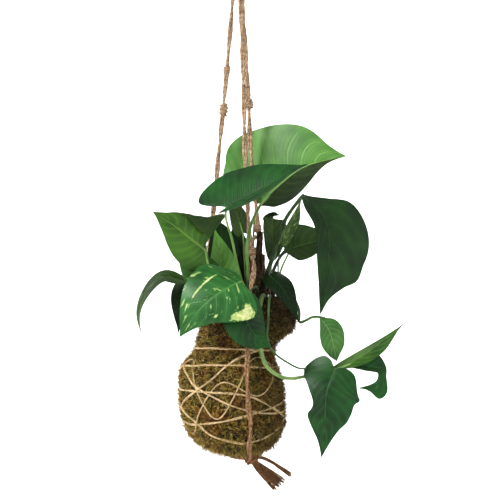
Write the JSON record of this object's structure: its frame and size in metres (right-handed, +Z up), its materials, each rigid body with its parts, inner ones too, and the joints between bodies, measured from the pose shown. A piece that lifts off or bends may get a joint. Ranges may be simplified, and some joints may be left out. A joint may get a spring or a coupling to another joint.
{
  "type": "hanging moss ball plant",
  "caption": "Trailing heart-leaved vine growing from a moss ball bound with straw twine and hung by knotted jute legs from a loop.",
  "frame": {"origin": "bearing point at the top of the inside of the hanging loop, where it lies on a hook", "axes": "+Z up, -Y towards the side it is looked at from, +X to the viewer's right"},
  "size_m": [0.2777, 0.189, 0.6043],
  "materials": {
    "moss": "matte, fuzzy",
    "soil": "matte, crumbly",
    "twine": "matte straw",
    "jute": "matte twisted fibre",
    "stem": "matte bark",
    "leaf_light": "satin",
    "leaf_mid": "satin",
    "leaf_dark": "waxy",
    "leaf_cream": "waxy with cream streaks"
  },
  "bodies": {
    "root": {"moss_shell": "moss", "soil_core": "soil", "twine_wrap": "twine", "old_stems": "stem", "leaf_crown_large": "leaf_light", "leaf_crown_front": "leaf_dark", "leaf_left_folded": "leaf_mid", "leaf_left_narrow": "leaf_dark", "leaf_front_cream": "leaf_cream", "leaf_left_curled": "leaf_dark", "leaf_left_low": "leaf_dark", "leaf_left_streaked": "leaf_cream", "leaf_front_low": "leaf_dark", "leaf_collar_right": "leaf_mid", "leaf_right_hanging": "leaf_dark", "leaf_back_arched": "leaf_mid", "leaf_back_narrow": "leaf_mid", "leaf_right_side": "leaf_mid", "leaf_vine_long": "leaf_dark", "leaf_inner_young": "leaf_mid", "leaf_inner_left": "leaf_dark", "leaf_inner_middle": "leaf_dark", "leaf_rear_high": "leaf_mid", "leaf_rear_left": "leaf_mid", "leaf_rear_right": "leaf_mid", "leaf_rear_low": "leaf_mid", "leaf_rear_side": "leaf_mid", "vine_right": "leaf_mid", "vine_side": "leaf_mid", "leg_front": "jute", "leg_right": "jute", "leg_left": "jute", "hanging_loop": "jute", "gather_tassel": "jute"}
  },
  "joints": []
}
